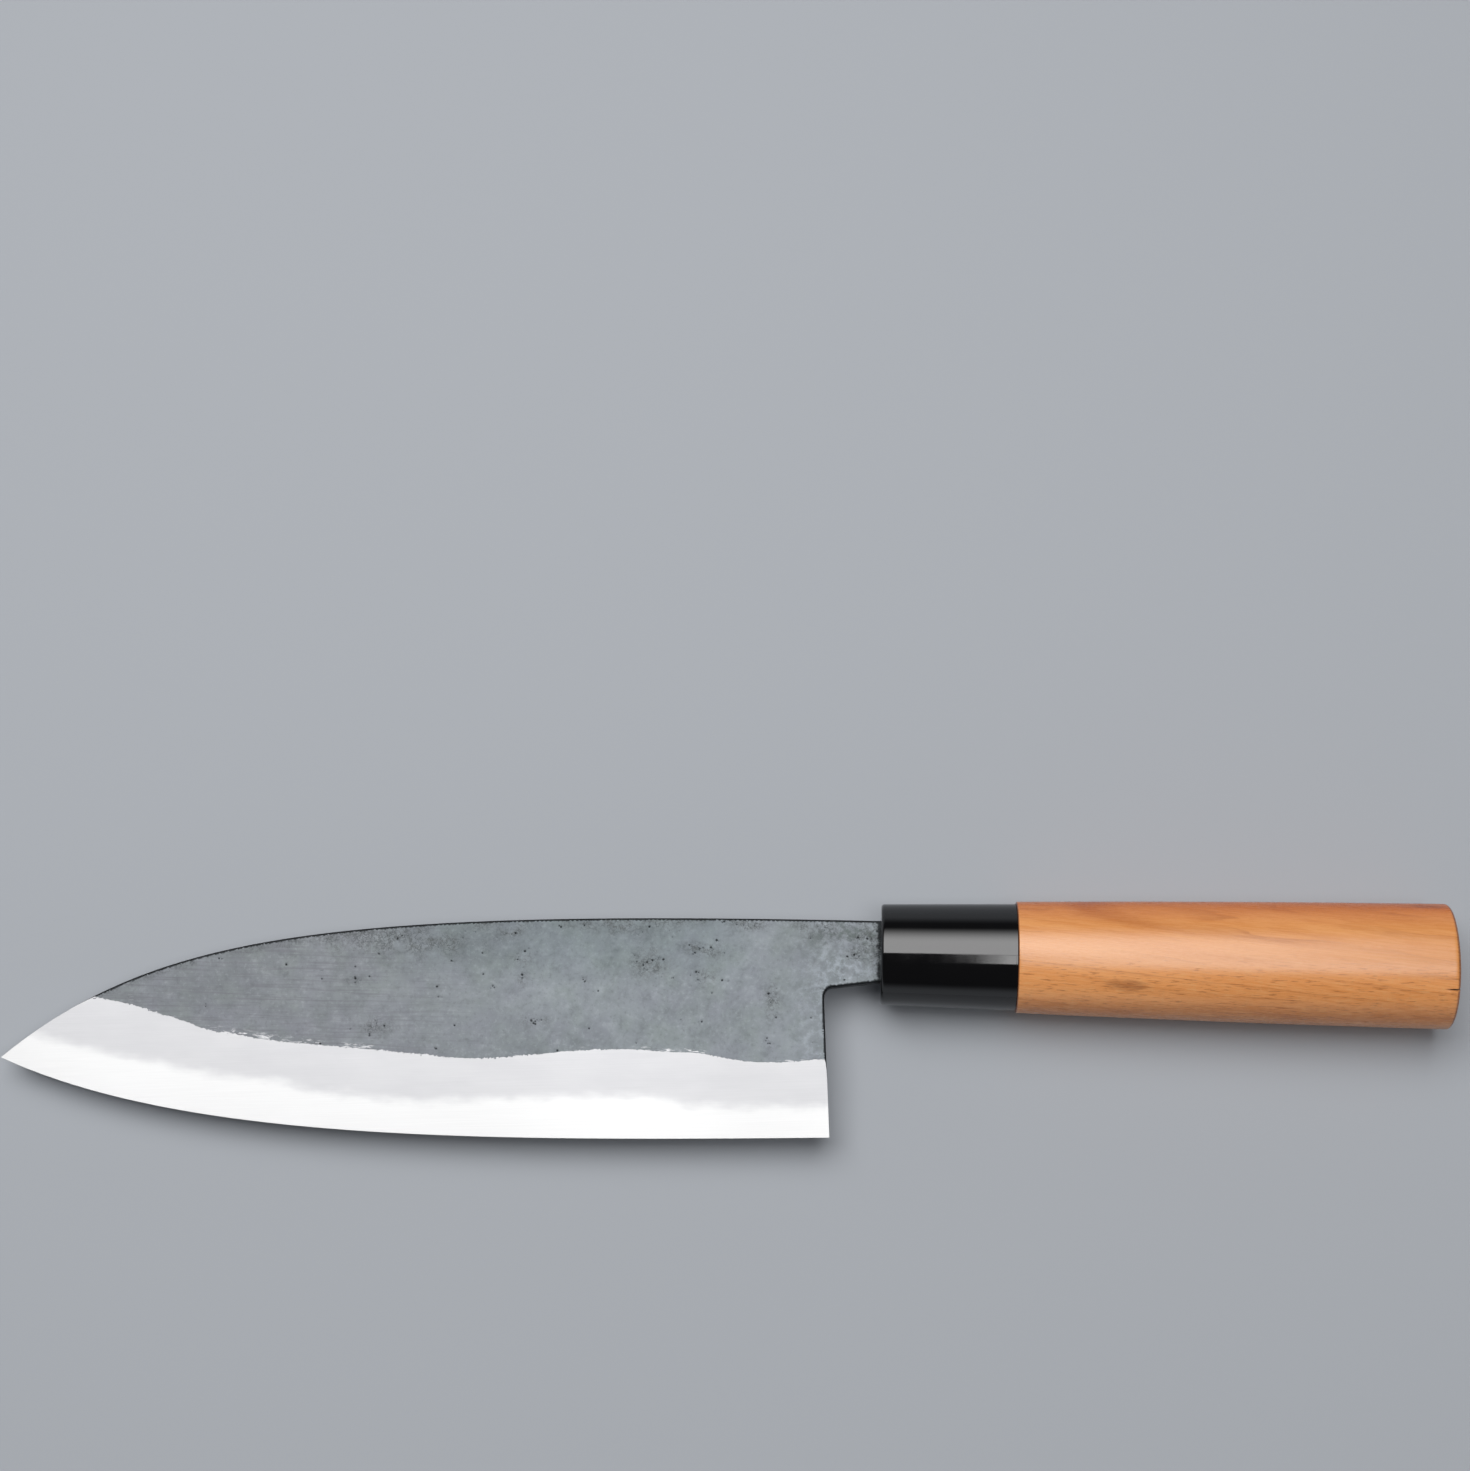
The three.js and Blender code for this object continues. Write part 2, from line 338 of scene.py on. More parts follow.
# The ground bevel, column by column: the edge's height, and the bevel's thickness and slope there
columns = np.arange(tip_x + TIP_MARGIN, heel_x - HEEL_MARGIN, STEP)
edge_line, spine_line = np.array([crossings(outline, x)[[0, -1]] for x in columns]).T
probe_reach = np.minimum(spine_line - edge_line, PROBE_REACH)
low_probe, high_probe = (edge_line + share * probe_reach for share in PROBE_SHARES)
low_half, high_half = (
    np.array([cad_height(*place) for place in zip(columns, probe)]) for probe in (low_probe, high_probe)
)
even_slope = evened((high_half - low_half) / (high_probe - low_probe))
edge_half = evened(low_half - even_slope * (low_probe - edge_line))
ground_half = plate_half(columns) - edge_half
bevel_slope = ground_half / (ground_half / even_slope + shift_at(columns, GRIND_SHIFTS))
tip_y = outline[outline[:, 0].argmin(), 1]


def edge_y(x):
    """The height of the cutting edge."""
    return np.interp(x, np.append(tip_x, columns), np.append(tip_y, edge_line))


def bevel_half(x, y):
    """Half the thickness that the grind leaves, carried on above the bevel."""
    return np.interp(x, columns, edge_half) + np.interp(x, columns, bevel_slope) * (y - edge_y(x))


def bevel_y(x, half):
    """The height at which the bevel has half a given thickness."""
    slope = np.interp(x, columns, bevel_slope)
    return edge_y(x) + (half - np.interp(x, columns, edge_half)) / slope


def grind_line(x):
    """The height at which the bevel would meet a smooth forged plate."""
    return bevel_y(x, plate_half(x))


def waves(points, pair, seed, octaves=3):
    """Smooth noise at each x and y, with a pair of a height and a main wavelength."""
    height, length = pair
    places = (Vector((x / length, y / length, seed)) for x, y in points)
    return height * np.array([noise.fractal(place, 1, 2, octaves) for place in places])


def weld_half(x):
    """Half the thickness of the hard core. The weld strays a little along the blade."""
    along = np.column_stack([x, np.zeros_like(x)])
    stray = shift_at(x, WELD_SHIFTS) + waves(along, WELD_RIPPLE, seed=3.7)
    fade = np.clip((root_x - x) / (root_x - heel_x), 0, 1)
    return core_share * plate_half(x) + stray * np.interp(x, columns, bevel_slope) * fade


def weld_line(x):
    """The height at which the weld comes to the surface of the bevel."""
    return bevel_y(x, weld_half(x))


# Meshes

def add_object(name, data):
    """A new object in the scene."""
    added = bpy.data.objects.new(name, data)
    bpy.context.scene.collection.objects.link(added)
    return added


def make_piece(name, points, faces, values, material, node, creases=()):
    """A closed piece of the knife in place of a node, with named values at its corners and sharp
    edges between the given pairs of corners. Corners in the same place become one."""
    mesh = bpy.data.meshes.new(name)
    mesh.from_pydata((np.asarray(points) * MM).tolist(), [], faces)
    for key, numbers in values.items():
        attribute = mesh.attributes.new(key, "FLOAT", "POINT")
        attribute.data.foreach_set("value", np.asarray(numbers, np.float32))
    shell = bmesh.new()
    shell.from_mesh(mesh)
    bmesh.ops.remove_doubles(shell, verts=shell.verts, dist=SAME_POINT_M)
    bmesh.ops.recalc_face_normals(shell, faces=shell.faces)
    shell.to_mesh(mesh)
    shell.free()
    mesh.polygons.foreach_set("use_smooth", [True] * len(mesh.polygons))
    mesh.set_sharp_from_angle(angle=SHARP_ANGLE)
    sharp = {tuple(sorted(pair)) for pair in creases}
    for edge in mesh.edges:
        edge.use_edge_sharp = edge.use_edge_sharp or tuple(sorted(edge.vertices)) in sharp
    mesh.materials.append(material)
    piece = add_object(name, mesh)
    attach(piece, "root")
    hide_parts(node)


def triangulate(points, loop_count, lines=()):
    """Triangles through all the points, inside the outline that the first ones make."""
    loop = list(range(loop_count))
    places = [Vector(point) for point in points]
    inside_only, tolerance = 1, 1e-6
    _, _, faces, sources, *_ = delaunay_2d_cdt(places, list(lines), [loop], inside_only, tolerance)
    return [[sources[corner][0] for corner in face] for face in faces]


def wall_faces(count, start, end):
    """Four-sided faces between two loops of corners, numbered from a start and from an end."""
    pairs = [(corner, (corner + 1) % count) for corner in range(count)]
    return [[start + corner, end + corner, end + after, start + after] for corner, after in pairs]


def lattice(loop, step):
    """Points of an even staggered grid inside an outline, ahead of the ferrule."""
    points = []
    for number, x in enumerate(np.arange(loop[:, 0].min() + step, root_x, step * LATTICE_ROW)):
        heights = crossings(loop, x)
        for low, high in zip(heights[::2], heights[1::2]):
            first = math.ceil(low / step) + (number % 2) / 2
            points.extend((x, y) for y in np.arange(first, high / step, 1) * step)
    return np.array(points)


def clear_of(loop, points):
    """The points that lie inside an outline and clear of it."""
    x, y = points.T
    inside = np.zeros(len(points), bool)
    for (ax, ay), (bx, by) in zip(loop, np.roll(loop, -1, axis=0)):
        if ax != bx:
            inside ^= ((ax <= x) != (bx <= x)) & (y > ay + (x - ax) / (bx - ax) * (by - ay))
    tree = KDTree(len(loop))
    for index, point in enumerate(loop):
        tree.insert((*point, 0), index)
    tree.balance()
    return np.array([point for point in points[inside] if tree.find((*point, 0))[2] > LATTICE_MARGIN])


def fine_strip():
    """Rows of close points along the grind line."""
    x = np.arange(tip_x, heel_x, GRIND_STEP)
    rows = np.arange(-GRIND_STRIP, GRIND_STRIP + GRIND_STEP / 2, GRIND_STEP)
    return np.vstack([
        np.column_stack([x + (number % 2) * GRIND_STEP / 2, grind_line(x) + row])
        for number, row in enumerate(rows)
    ])


def with_pits(points, pits):
    """Points with rings of closer ones in place of those inside each pit."""
    for x, y, radius in pits:
        far = np.hypot(points[:, 0] - x, points[:, 1] - y)
        rings = [(x, y)]
        for share, count in PIT_RINGS:
            turn = np.arange(count) * 2 * math.pi / count
            rings.extend(zip(x + share * radius * np.cos(turn), y + share * radius * np.sin(turn)))
        points = np.vstack([points[far > PIT_CLEARANCE * radius], rings])
    return points


def split_outline():
    """The blade's outline above and below the weld line, each counter-clockwise, with its ends on it."""
    loop = refine(outline, STEP)
    gap = loop[:, 1] - weld_line(loop[:, 0])
    front = np.nonzero((gap > 0) & (np.roll(gap, -1) <= 0))[0][0]
    loop = np.roll(loop, -front - 1, axis=0)
    gap = np.roll(gap, -front - 1)
    rise = np.nonzero(gap > 0)[0][0]

    def meet(start, end):
        share = gap[start] / (gap[start] - gap[end])
        return loop[start] + share * (loop[end] - loop[start])

    front_end, rear_end = meet(-1, 0), meet(rise - 1, rise)
    upper = np.vstack([rear_end, loop[rise:], front_end])
    lower = np.vstack([front_end, loop[:rise], rear_end])
    return upper, lower


def line_between(start, end):
    """Points on the weld line from one end to the other, without the ends."""
    count = math.ceil(abs(end[0] - start[0]) / STEP)
    x = np.linspace(start[0], end[0], count + 1)[1:-1]
    return np.column_stack([x, weld_line(x)])


def inset(path, distance):
    """A path moved to its left."""
    along = np.gradient(path, axis=0)
    along /= np.linalg.norm(along, axis=1)[:, None]
    return path + distance * np.column_stack([-along[:, 1], along[:, 0]])


def hollows_for(side, draw):
    """Places and radii of the hollows in the scale on one side. A pit is a few hollows that run
    together, and so is the slip of the file. The right side has only scattered pits."""
    places = []
    if side > 0:
        for ahead, height, along, across, count in PIT_CLUSTERS:
            places.extend(draw.normal((root_x - ahead, height), (along, across), (count, 2)))
    low, high = SCATTER_HEIGHTS
    field = (tip_x + SCATTER_START, low), (root_x, high)
    places.extend(draw.uniform(*field, (SCATTERED_PITS[side], 2)))
    pits = [(x, y, PIT_RADIUS + PIT_RADIUS_RANGE * draw.random() ** 2) for x, y in places]
    if side > 0:
        pits.extend((root_x - ahead, height, LONE_PIT_RADIUS) for ahead, height in LONE_PITS)
        for ahead in GRIND_LINE_PITS:
            x = root_x - ahead
            pits.append((x, grind_line(x) + GRIND_PIT_RISE, DARK_PIT_RADIUS))
    hollows = []
    for x, y, radius in pits:
        for _ in range(draw.integers(1, MOST_HOLLOWS + 1)):
            hollows.append((x, y, radius))
            x, y = draw.normal((x, y), np.multiply(HOLLOW_STRAY, radius))
            radius *= draw.uniform(*HOLLOW_SHRINK)
    if side > 0:
        for ahead, height, half in np.linspace(FILE_SLIP_START, FILE_SLIP_END, FILE_SLIP_STEPS):
            hollows.append((root_x - ahead, height, half))
    return [hollow for hollow in hollows if hollow[1] > grind_line(hollow[0]) - GRIND_PIT_MARGIN]


def soot_at(points, side, draw):
    """How dark the forge scale is at each place, from 0 to 1: soot round the pits, and darker below
    the spine and towards the root.
    """
    patches = PIT_CLUSTERS if side > 0 else [
        [draw.uniform(*limits) for limits in SOOT_RANGES] for _ in PIT_CLUSTERS
    ]
    x, y = points.T
    soot = np.zeros(len(points))
    for ahead, height, along, across, *_ in patches:
        far = ((x - root_x + ahead) / along) ** 2 + ((y - height) / across) ** 2
        soot += np.exp(-far / SOOT_SPREAD**2)
    # Darker below the spine and towards the root.
    below_spine = np.interp(x, columns, spine_line) - y
    soot += SPINE_DARKENING_SHARE * np.clip(1 - below_spine / SPINE_DARKENING, 0, 1)
    soot += np.clip(1 - (root_x - x) / ROOT_DARKENING, 0, 1)
    ragged = waves(points, SOOT_PATCHES, seed=6.4 * side, octaves=4)
    return np.clip(soot * (SOOT_MEAN + ragged), 0, 1)


def stain_and_dark_reflection_at(points, inward, pitted):
    """How black each place is, from 0 to 1: painted dark reflection along the rounded outer
    edges, black at the root, and dark in the pits.
    """
    # The rim is painted dark reflection along the rounded outer edges.
    rim = np.interp(inward, RIM_DARK_REFLECTION, (1, 0))
    # Black at the root, in ragged patches, fading away from it.
    ragged = waves(points, ROOT_PATCHES, seed=1.8, octaves=2)
    root = np.clip(ROOT_BLACKENING_START - (root_x - points[:, 0]) / ROOT_BLACKENING + ragged, 0, 1)
    return np.maximum.reduce([rim, root, pitted])


def pit_shares(points, hollows):
    """How far in each place lies in a pit, from 0 to 1, and how deep."""
    shares = np.zeros(len(points))
    depths = np.zeros(len(points))
    for x, y, radius in hollows:
        far = ((points[:, 0] - x) ** 2 + (points[:, 1] - y) ** 2) / radius**2
        share = np.clip(1 - far, 0, 1)
        shares = np.maximum(shares, share * min(1, radius / DARK_PIT_RADIUS))
        depths = np.maximum(depths, PIT_STEEPNESS * radius * share)
    return shares, depths


def forged_half(points, inward, side):
    """Half the thickness of the forged surface, with its swells and rounded outer edges."""
    plate = plate_half(points[:, 0])
    swell = waves(points, FORGE_SWELL, seed=11.3 * side, octaves=2)
    ripple = waves(points, FORGE_RIPPLE, seed=5.1 * side)
    radius = np.minimum(EDGE_ROUND, EDGE_ROUND_SHARE * (plate - weld_half(points[:, 0])))
    short = np.clip(1 - inward / radius, 0, 1)
    return plate * (1 + swell + ripple) - radius * (1 - np.sqrt(1 - short**2))


def cladding_layout(upper, loop, hollows):
    """Where the corners of a cladding's outer surface lie, and how far in from its outer edges."""
    rims = []
    for distance in ROUND_INSETS:
        path = inset(upper, distance)[2:-2]
        clear = path[:, 1] - weld_line(path[:, 0]) > INSET_CLEARANCE
        rims.append(path[clear & (path[:, 0] < root_x)])
    grid = lattice(loop, STEP)
    grid = grid[np.abs(grid[:, 1] - grind_line(grid[:, 0])) > GRIND_STRIP + GRIND_STEP]
    grid = np.vstack([grid, fine_strip()])
    grid = clear_of(loop, with_pits(grid, hollows))
    counts = [len(upper), len(loop) - len(upper), *map(len, rims), len(grid)]
    inward = np.repeat([0, FAR_INSIDE, *ROUND_INSETS, FAR_INSIDE], counts)
    return np.vstack([loop, *rims, grid]), inward


def make_cladding(name, node, side, seed, material):
    """One soft outer layer: forge scale above, ground thin along the bevel down to the weld line."""
    draw = np.random.default_rng(seed)
    upper, _ = split_outline()
    loop = np.vstack([upper, line_between(upper[-1], upper[0])])
    hollows = hollows_for(side, draw)
    flat, inward = cladding_layout(upper, loop, hollows)
    bevel = bevel_half(*flat.T)
    pitted, depth = pit_shares(flat, hollows)
    forged = forged_half(flat, inward, side) - depth
    in_handle = flat[:, 0] > root_x
    forged[in_handle] = plate_half(flat[in_handle, 0])
    hidden = np.vstack([loop, clear_of(loop, lattice(loop, HIDDEN_STEP))])
    inner = np.minimum(weld_half(hidden[:, 0]) + WELD_SEAM, bevel_half(*hidden.T) - FEATHER)
    tops = np.column_stack([flat, side * np.minimum(forged, bevel)])
    bottoms = np.column_stack([hidden, side * inner])
    faces = triangulate(flat, len(loop)) + wall_faces(len(loop), 0, len(flat))
    faces += (len(flat) + np.array(triangulate(hidden, len(loop)))).tolist()
    # The walls round the outer edge are black with the painted dark reflection; the hidden underside is
    # black, and the weld line is not.
    black = np.ones(len(hidden))
    black[len(upper):len(loop)] = 0
    values = {
        "grind": np.append(forged - bevel, 1 - 2 * black),
        "weld": np.append(flat[:, 1] - weld_line(flat[:, 0]), 0 * black),
        "soot": np.append(soot_at(flat, side, draw), 0 * black),
        "stain_and_dark_reflection": np.append(stain_and_dark_reflection_at(flat, inward, pitted), black),
    }
    points = np.vstack([tops, bottoms])
    make_piece(name, points, faces, values, material, node)


def make_core(material):
    """The hard core: a bright strip along both sides of the cutting edge, and a hidden plate."""
    upper, lower = split_outline()
    weld = line_between(lower[0], lower[-1])
    loop = np.vstack([lower, upper[1:-1]])
    strip = np.vstack([lower, weld[::-1]])
    plate = np.vstack([upper, weld])
    grid = clear_of(strip, lattice(strip, STEP))
    hidden = clear_of(plate, lattice(plate, HIDDEN_STEP))
    flat = np.vstack([loop, weld, grid, hidden])
    count = len(flat)
    weld_points = [0, *range(len(loop), len(loop) + len(weld)), len(lower) - 1]
    weld_pairs = list(zip(weld_points, weld_points[1:]))
    top = triangulate(flat, len(loop), weld_pairs)
    faces = top + (count + np.array(top)).tolist() + wall_faces(len(loop), 0, count)
    half = np.minimum(bevel_half(*flat.T), weld_half(flat[:, 0]))
    points = np.vstack([np.column_stack([flat, half]), np.column_stack([flat, -half])])
    above = flat[:, 1] - weld_line(flat[:, 0])
    bright = above < WELD_MARGIN
    values = {
        "grind": np.tile(np.where(bright, 1, -1), 2),
        "weld": np.tile(above, 2),
        "soot": np.zeros(2 * count),
        "stain_and_dark_reflection": np.tile(np.where(bright, 0, 1), 2),
    }
    creases = [(start + face, end + face) for start, end in weld_pairs for face in (0, count)]
    make_piece("hard_core", points, faces, values, material, "blade_core", creases)


# Ferrule and handle, as rings of points round the handle's axis

crack_turn = math.acos(CRACK_HEIGHT / handle_high[1])
crack_angle = CRACK_HALF_WIDTH / handle_high[1]
turns = np.sort(np.concatenate([
    np.linspace(0, 2 * math.pi, ROUND_STEPS, endpoint=False),
    crack_turn + crack_angle * np.array(CRACK_CORNERS),
]))
oval_share = (ferrule_high[2] - ferrule_low[2]) / (ferrule_high[1] - ferrule_low[1])


def oval_ring(x, half):
    """A ring of the handle's oval."""
    return np.column_stack([
        np.broadcast_to(x, turns.shape), half * np.cos(turns), half * oval_share * np.sin(turns)
    ])


def ring_faces(ring_count, closed):
    """Four-sided faces between each ring and the next."""
    starts = [ring * len(turns) for ring in range(ring_count)]
    ends = starts[1:] + starts[:closed]
    return [face for pair in zip(starts, ends) for face in wall_faces(len(turns), *pair)]


def oval_halves(node):
    """Half heights of the oval rings that a node is made of, for each of its places along x."""
    points = corner_points(node)
    halves = np.hypot(points[:, 1], points[:, 2] / oval_share)
    places = np.round(points[:, 0], 3)
    return {x: np.unique(np.round(halves[places == x], 3)) for x in np.unique(places)}


def arc(start, end, from_face):
    """Places and half heights along a quarter round, from an end face to the side or the other way."""
    turn = np.linspace(0, math.pi / 2, ARC_STEPS)
    quick, slow = np.sin(turn), 1 - np.cos(turn)
    shares = np.column_stack((slow, quick) if from_face else (quick, slow))
    return (start + np.subtract(end, start) * shares).tolist()


def side_profile(face, start, end, rear, places, halves):
    """Places and half heights along a piece's side: a round from its front face, straight stretches
    and a round to its rear face."""
    steps = np.arange(start[0], end[0], STEP)[1:]
    side = [(x, np.interp(x, places, halves)) for x in steps]
    return arc(face, start, from_face=True) + side + arc(end, rear, from_face=False)


bedding_points = corner_points("tang_bedding")
socket_front_x, socket_end_x = bedding_points[:, 0].min(), bedding_points[:, 0].max()


def socket_ring(x):
    """A ring of the tang's four-sided socket, which tapers between the bedding's two ends."""
    sections = []
    for place in (socket_front_x, socket_end_x):
        y, z = bedding_points[np.abs(bedding_points[:, 0] - place) < SAME_PLACE, 1:].T
        sections.append((y.min() - GLUE_GAP, y.max() + GLUE_GAP, z.max() + GLUE_GAP))
    front, end = np.array(sections)
    share = (x - socket_front_x) / (socket_end_x - socket_front_x)
    low, high, half = front + share * (end - front)
    reach = 1 / np.maximum(np.abs(np.cos(turns)) * 2 / (high - low), np.abs(np.sin(turns)) / half)
    return np.column_stack([
        np.full(len(turns), x), (low + high) / 2 + reach * np.cos(turns), reach * np.sin(turns)
    ])


def make_ferrule(material):
    """The polished cap: a slotted front wall, rounded rims and the bore for the handle's tenon."""
    halves = oval_halves("ferrule")
    front_x, rim_x, *_, bore_end_x, rear_x = sorted(halves)
    front_half, rear_half = halves[rim_x].max(), halves[rear_x].max()
    bore_half = halves[rear_x].min()
    rim = rim_x - front_x
    rings = [socket_ring(bore_end_x), socket_ring(front_x)]
    face = oval_ring(front_x, front_half - rim)
    rings += [rings[1] + (face - rings[1]) * share for share in FRONT_SHARES]
    ends = (front_x, front_half - rim), (rim_x, front_half)
    ends += (rear_x - REAR_RIM, rear_half), (rear_x, rear_half - REAR_RIM)
    profile = side_profile(*ends, (rim_x, rear_x), (front_half, rear_half))
    level = 0.5 - 0.5 * np.cos(turns)
    for x, half in profile:
        spots = np.column_stack([np.full(len(turns), x), half * turns])
        rings.append(oval_ring(x, half + level * waves(spots, FERRULE_RIPPLE, seed=8.2, octaves=2)))
    rings += [oval_ring(rear_x, bore_half), oval_ring(bore_end_x, bore_half)]
    faces = ring_faces(len(rings), True)
    make_piece("ferrule_cap", np.vstack(rings), faces, {}, material, "ferrule")


def make_handle(material):
    """The wooden grip: a tapered socket, a tenon, a flared oval body and a chamfered butt with a
    short drying crack."""
    halves = oval_halves("handle")
    tenon_x = min(halves)
    tenon_half = halves[tenon_x].max()
    places = np.array(sorted(x for x in halves if halves[x].max() > tenon_half))
    body = np.array([halves[x].max() for x in places])
    ends = [(places[i], body[i]) for i in (0, 1, -2, -1)]
    rings = [socket_ring(socket_end_x) * (1, 0, 0), socket_ring(socket_end_x), socket_ring(tenon_x)]
    rings += [oval_ring(x, tenon_half) for x in (tenon_x, places[0])]
    cracks = [np.zeros(len(turns)) for _ in rings]
    profile = side_profile(*ends, places, body)
    profile += [(butt_x, body[-1] * share) for share in BUTT_SHARES]
    near = np.clip(CRACK_FLANK * (1 - np.abs(turns - crack_turn) / crack_angle), 0, 1)
    for x, half in profile:
        on_face = x == butt_x and half < body[-1]
        if on_face:
            reach = (half / body[-1] - CRACK_END_SHARE) / (1 - CRACK_END_SHARE)
        else:
            reach = 1 - (butt_x - x) / CRACK_LENGTH
        crack = near * np.clip(CRACK_FADE * reach, 0, 1)
        spots = np.column_stack([x + half * np.cos(turns), half * np.sin(turns)])
        swell = waves(spots, GRIP_SWELL, seed=2.9, octaves=2)
        depth = CRACK_DEPTH * crack
        rings.append(oval_ring(x - depth, half) if on_face else oval_ring(x, half + swell - depth))
        cracks.append(crack)
    rings.append(oval_ring(butt_x, 0))
    cracks.append(np.zeros(len(turns)))
    faces = ring_faces(len(rings), False)
    values = {"crack": np.concatenate(cracks)}
    make_piece("wooden_grip", np.vstack(rings), faces, values, material, "handle")


# Materials

GLOSS_IOR = 1.62


class Value:
    """What a node gives at each place of a surface. Each step with it adds a node to its tree."""

    def __init__(self, socket):
        self.socket = socket
        self.tree = socket.id_data

    def calc(self, operation, second=0, third=0):
        """One step of arithmetic."""
        return put(self.tree, "Math", 0, {0: self, 1: second, 2: third}, operation=operation)

    __add__ = partialmethod(calc, "ADD")
    __sub__ = partialmethod(calc, "SUBTRACT")
    __mul__ = partialmethod(calc, "MULTIPLY")
    __abs__ = partialmethod(calc, "ABSOLUTE")
    times_plus = partialmethod(calc, "MULTIPLY_ADD")
    highest = partialmethod(calc, "MAXIMUM")

    def span(self, low, high, to_low=0, to_high=1, smooth=True):
        """This carried from one range to another and held at its ends."""
        inputs = {"Value": self, 1: low, 2: high, 3: to_low, 4: to_high}
        kind = "SMOOTHSTEP" if smooth else "LINEAR"
        return put(self.tree, "MapRange", "Result", inputs, interpolation_type=kind)

    def between(self, first, second):
        """Two numbers mixed, with this as the second one's share."""
        return put(self.tree, "Mix", 0, {"Factor": self, 2: first, 3: second})

    def mix(self, first, second, mode="MIX"):
        """Two colours mixed, with this as the second one's share."""
        inputs = {"Factor": self, 6: rgb(first), 7: rgb(second)}
        return put(self.tree, "Mix", 2, inputs, data_type="RGBA", blend_type=mode)

    def part(self, axis):
        """A vector's part along an axis."""
        return put(self.tree, "SeparateXYZ", axis, {"Vector": self})

    def length(self):
        """A vector's length."""
        return put(self.tree, "VectorMath", "Value", {0: self}, operation="LENGTH")


def feed(node, inputs):
    """Links each input of a node to a value, or sets it to a constant."""
    for key, value in inputs.items():
        if isinstance(value, Value):
            value.tree.links.new(value.socket, node.inputs[key])
        else:
            node.inputs[key].default_value = value


def put(tree, kind, output, inputs=(), **settings):
    """What a new node gives."""
    node = tree.nodes.new("ShaderNode" + kind)
    for key, setting in settings.items():
        setattr(node, key, setting)
    feed(node, dict(inputs))
    return Value(node.outputs[output])


def new_material(name):
    """A material, its node tree and its shader."""
    material = bpy.data.materials.new(name)
    material.use_nodes = True
    return material, material.node_tree, material.node_tree.nodes["Principled BSDF"]


def rgb(colour):
    """A colour for a socket. Linear red, green and blue get full cover."""
    return (*colour, 1) if isinstance(colour, tuple) else colour


def spot(tree, size=1, turn=0):
    """The place on the knife, in steps of a size in millimetres that may differ along each axis. The
    axes are turned about Z."""
    steps = Vector(size if isinstance(size, tuple) else (size, size, size)) * MM
    inputs = {
        "Vector": put(tree, "TexCoord", "Object"),
        "Scale": steps,
        "Rotation": (0, 0, math.radians(turn)),
    }
    return put(tree, "Mapping", "Vector", inputs, vector_type="TEXTURE")


def grain(tree, size, detail=3, rough=0.5, turn=0):
    """Noise from 0 to 1 whose features have a size in millimetres."""
    inputs = {"Vector": spot(tree, size, turn), "Scale": 1, "Detail": detail, "Roughness": rough}
    return put(tree, "TexNoise", "Fac", inputs)


def stored(tree, name):
    """A value kept at the corners of a mesh."""
    return put(tree, "Attribute", "Fac", attribute_name=name)


def bump(height, distance, strength):
    """A surface normal from a height, in millimetres of relief."""
    inputs = {"Height": height, "Distance": distance * MM, "Strength": strength}
    return put(height.tree, "Bump", "Normal", inputs)


# Forge scale

# Its layers: the size, detail and roughness of a grain, where a tone comes in and is full, how much of
# the tone shows there, and the tone. On the neck, the heights where the layer comes in and is full and
# its least share come first.
TINT = (7, 4, 0.6)
MOTTLE = (2.4, 6, 0.7)
PEEL = (0.75, 3, 0.6)
SCALE_LAYERS = (
    (TINT, 0.45, 0.68, 0.5, (0.198, 0.203, 0.236)),
    (TINT, 0.5, 0.3, 0.5, (0.206, 0.232, 0.228)),
    (MOTTLE, 0.52, 0.74, 0.45, (0.145, 0.16, 0.168)),
    (MOTTLE, 0.46, 0.28, 0.35, (0.27, 0.285, 0.305)),
    (PEEL, 0.55, 0.7, 0.4, (0.13, 0.142, 0.15)),
    (PEEL, 0.45, 0.32, 0.35, (0.29, 0.31, 0.325)),
)
NECK_LAYERS = (
    (2, -3, 0.3, (1.6, 6, 0.74), 0.44, 0.62, 0.8, (0.31, 0.345, 0.38)),
    (-3, 2, 0.25, (2.7, 6, 0.68), 0.44, 0.62, 0.9, (0.085, 0.105, 0.1)),
)
NECK_REACH = (-12, 2)
STREAK_MARGIN = 60


def clouded_scale(tree):
    """Blue-grey forge scale in cloudy patches, coarse to fine."""
    clouds = grain(tree, 16, 4, 0.6).span(0.34, 0.66)
    colour = clouds.mix((0.182, 0.198, 0.212), (0.222, 0.238, 0.258))
    for kind, low, high, most, tone in SCALE_LAYERS:
        colour = grain(tree, *kind).span(low, high, 0, most).mix(colour, tone)
    return colour


def worn_scale(tree, colour, along, height):
    """Scale with streaks towards the tip, wiped towards the heel and darker along the spine."""
    ends = root_x - STREAK_MARGIN, tip_x + STREAK_MARGIN
    to_tip, to_heel = along.span(*ends), along.span(*ends, 1, 0)
    streak = grain(tree, (14, 0.5, 5), 5, 0.7).span(0.46, 0.66, 0, 0.75) * to_tip
    colour = streak.mix(colour, (0.155, 0.16, 0.178))
    wiped = grain(tree, (16, 2.2, 9), 4, 0.6, turn=58).span(0.5, 0.72, 0, 0.24) * to_heel
    colour = wiped.mix(colour, (0.28, 0.30, 0.32))
    colour = to_heel.mix(colour, (0.985, 1.02, 1.015), "MULTIPLY")
    dusk = height.span(*DUSK_HEIGHTS)
    for start, end in DUSK_ENDS:
        dusk = dusk * along.span(root_x - start, root_x - end)
    return dusk.mix(colour, (0.83, 0.87, 0.87), "MULTIPLY")


def mottled_neck(tree, colour, along, height):
    """Scale with pale blotches low on the neck and dark ones high on it."""
    neck = along.span(*(heel_x + end for end in NECK_REACH))
    for start, full, least, kind, low, high, most, tone in NECK_LAYERS:
        reach = neck * height.span(start, full, least, 1)
        colour = (reach * grain(tree, *kind).span(low, high, 0, most)).mix(colour, tone)
    return colour


